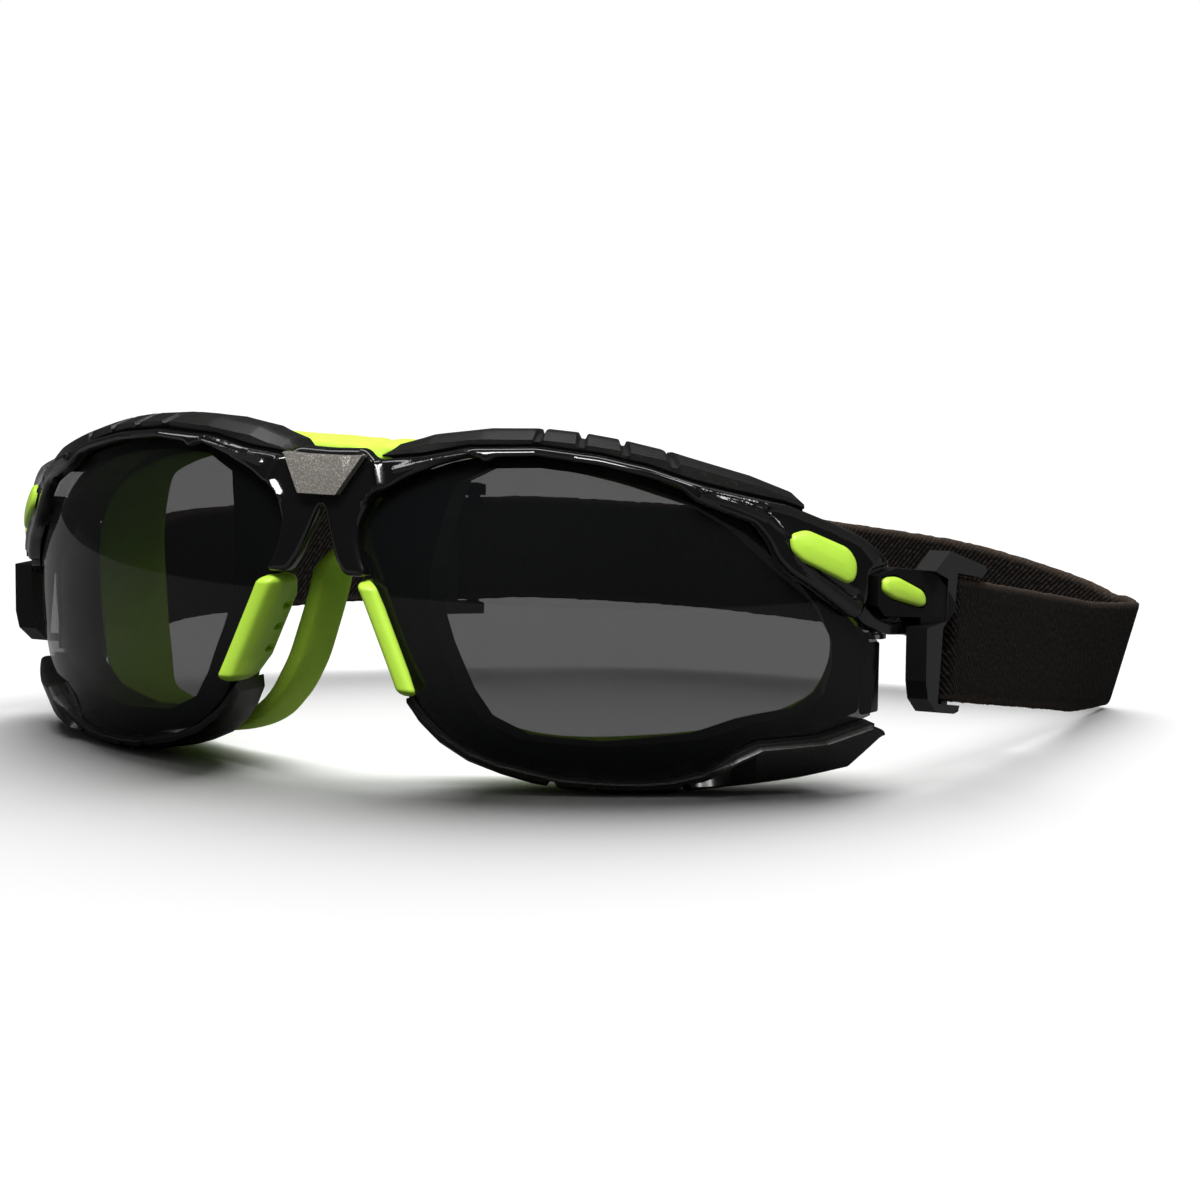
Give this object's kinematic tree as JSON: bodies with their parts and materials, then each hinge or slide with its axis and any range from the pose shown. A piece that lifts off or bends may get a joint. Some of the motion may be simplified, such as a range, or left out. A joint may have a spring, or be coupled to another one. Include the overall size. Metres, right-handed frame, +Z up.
{
  "type": "welding goggles",
  "caption": "Wrap-round sealed safety goggles with smoke lenses, half-rim frame, foam face seal and an elastic headband on swivelling clips.",
  "frame": {"origin": "centre of the bounding box in plan, at the level of its lowest point, which is the flat underside of the lower bumpers", "axes": "+Z up when worn, -Y the way the wearer looks, +X towards the wearer's left"},
  "size_m": [0.1586, 0.1518, 0.0516],
  "materials": {
    "frame_gloss": "moulded nylon, polished black",
    "plate_graphite": "dark grey plastic with a fine metallic flake, satin",
    "carrier_black": "moulded black plastic, satin",
    "seal_foam": "closed-cell elastomer foam, lime green, matte",
    "lens_smoke": "smoke grey polycarbonate, polished",
    "guard_satin": "black plastic with a fine sparkle, satin",
    "lime_rubber": "soft lime green elastomer, satin",
    "lime_plastic": "lime green moulded plastic, semi-gloss",
    "clip_black": "black nylon, fine matte grain",
    "slider_black": "black plastic, semi-gloss",
    "spring_steel": "plain spring steel",
    "pin_steel": "plain steel",
    "webbing": "woven elastic webbing, black"
  },
  "bodies": {
    "frame": {"front_frame": "frame_gloss", "bridge_plate": "plate_graphite", "gasket_carrier": "carrier_black", "face_seal": "seal_foam", "lens_left": "lens_smoke", "lens_right": "lens_smoke", "brow_guard_left": "guard_satin", "brow_guard_right": "guard_satin", "lower_bumper_left": "guard_satin", "lower_bumper_right": "guard_satin", "nose_pad_left": "lime_rubber", "nose_pad_right": "lime_rubber", "end_inlay_left": "lime_rubber", "end_inlay_right": "lime_rubber", "hinge_pin_left": "pin_steel", "hinge_pin_right": "pin_steel", "strap_band": "webbing", "strap_return": "webbing"},
    "clip_left": {"strap_clip_left": "clip_black", "latch_leaf_left": "spring_steel", "strap_end_left": "webbing"},
    "clip_right": {"strap_clip_right": "clip_black", "latch_leaf_right": "spring_steel", "strap_end_right": "webbing"},
    "button_left": {"release_button_left": "lime_plastic"},
    "button_right": {"release_button_right": "lime_plastic"},
    "slider": {"strap_slider": "slider_black"}
  },
  "joints": [
    {"name": "clip_left_swivel", "type": "hinge", "parent": "frame", "child": "clip_left", "pos_m": [0.0697, -0.0331, 0.02685], "axis": [0, 0, 1], "range_deg": [0, 15]},
    {"name": "clip_right_swivel", "type": "hinge", "parent": "frame", "child": "clip_right", "pos_m": [-0.0697, -0.0331, 0.02685], "axis": [0, 0, -1], "range_deg": [0, 15]},
    {"name": "button_left_press", "type": "slide", "parent": "clip_left", "child": "button_left", "axis": [-0.9103, 0.406, -0.0803], "range_m": [0, 0.001], "stiffness_N_per_m": 300},
    {"name": "button_right_press", "type": "slide", "parent": "clip_right", "child": "button_right", "axis": [0.9103, 0.406, -0.0803], "range_m": [0, 0.001], "stiffness_N_per_m": 300},
    {"name": "slider_slide", "type": "slide", "parent": "frame", "child": "slider", "axis": [-0.73, -0.6834, 0], "range_m": [-0.008, 0.008]}
  ]
}
